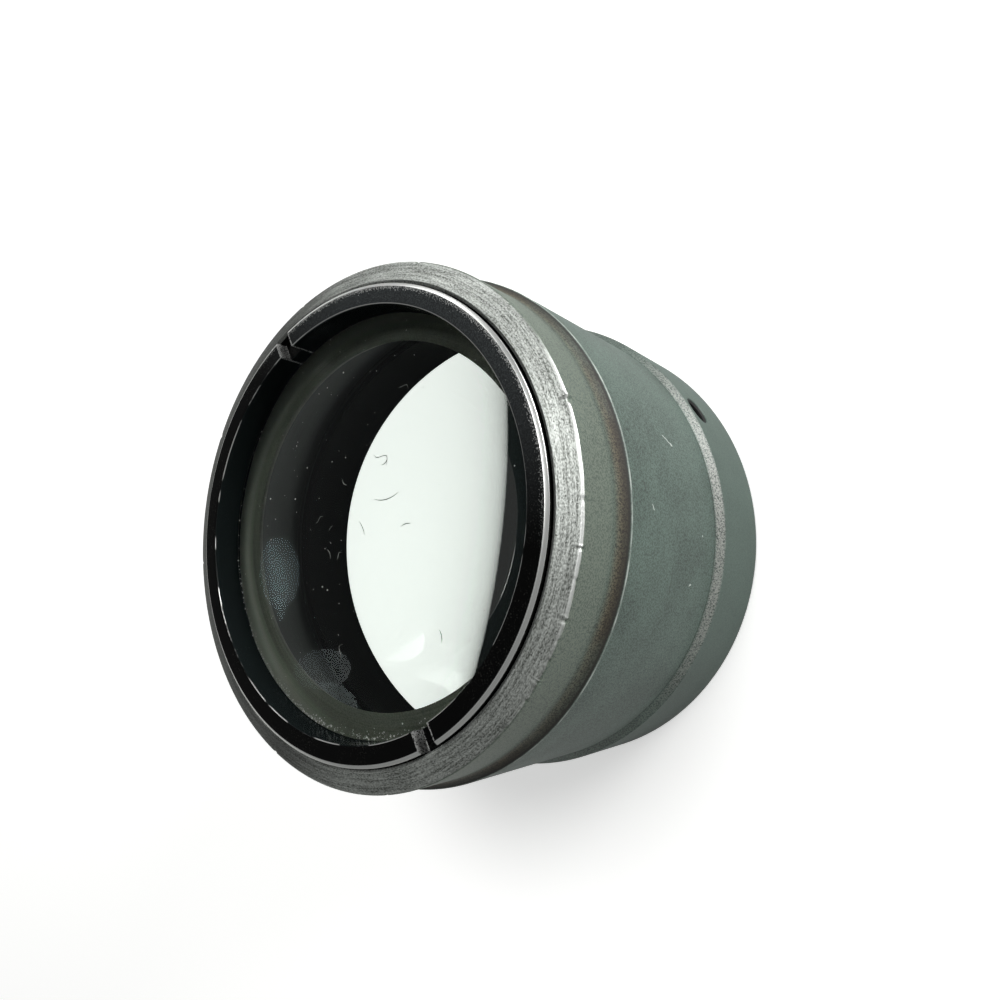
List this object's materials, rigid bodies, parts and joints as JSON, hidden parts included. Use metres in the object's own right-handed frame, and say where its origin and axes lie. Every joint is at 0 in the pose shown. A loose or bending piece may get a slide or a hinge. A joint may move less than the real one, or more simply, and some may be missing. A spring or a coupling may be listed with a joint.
{
  "type": "telescope objective lens",
  "caption": "Telescope objective: air-spaced glass elements in a stepped one-piece turned steel cell, held by a threaded black ring with spanner slots.",
  "frame": {"origin": "centre of the cell's flat rear face", "axes": "+Z along the optical axis towards the sky side of the lens, +Y through the lock hole in the rear band, +X completes the right-handed set"},
  "size_m": [0.0634, 0.0634, 0.045],
  "materials": {
    "cell_steel": "grey-green phosphate coat, worn bare on the front face and edges, with brown rust in the cove",
    "ring_black": "satin black with a bare bevel",
    "front_glass": "polished and coated, ground at the edge",
    "spacer_black": "semi-gloss black",
    "rear_glass": "polished, ground at the edge"
  },
  "bodies": {
    "root": {"cell": "cell_steel", "retaining_ring": "ring_black", "front_element": "front_glass", "spacer": "spacer_black", "rear_element": "rear_glass"}
  },
  "joints": []
}
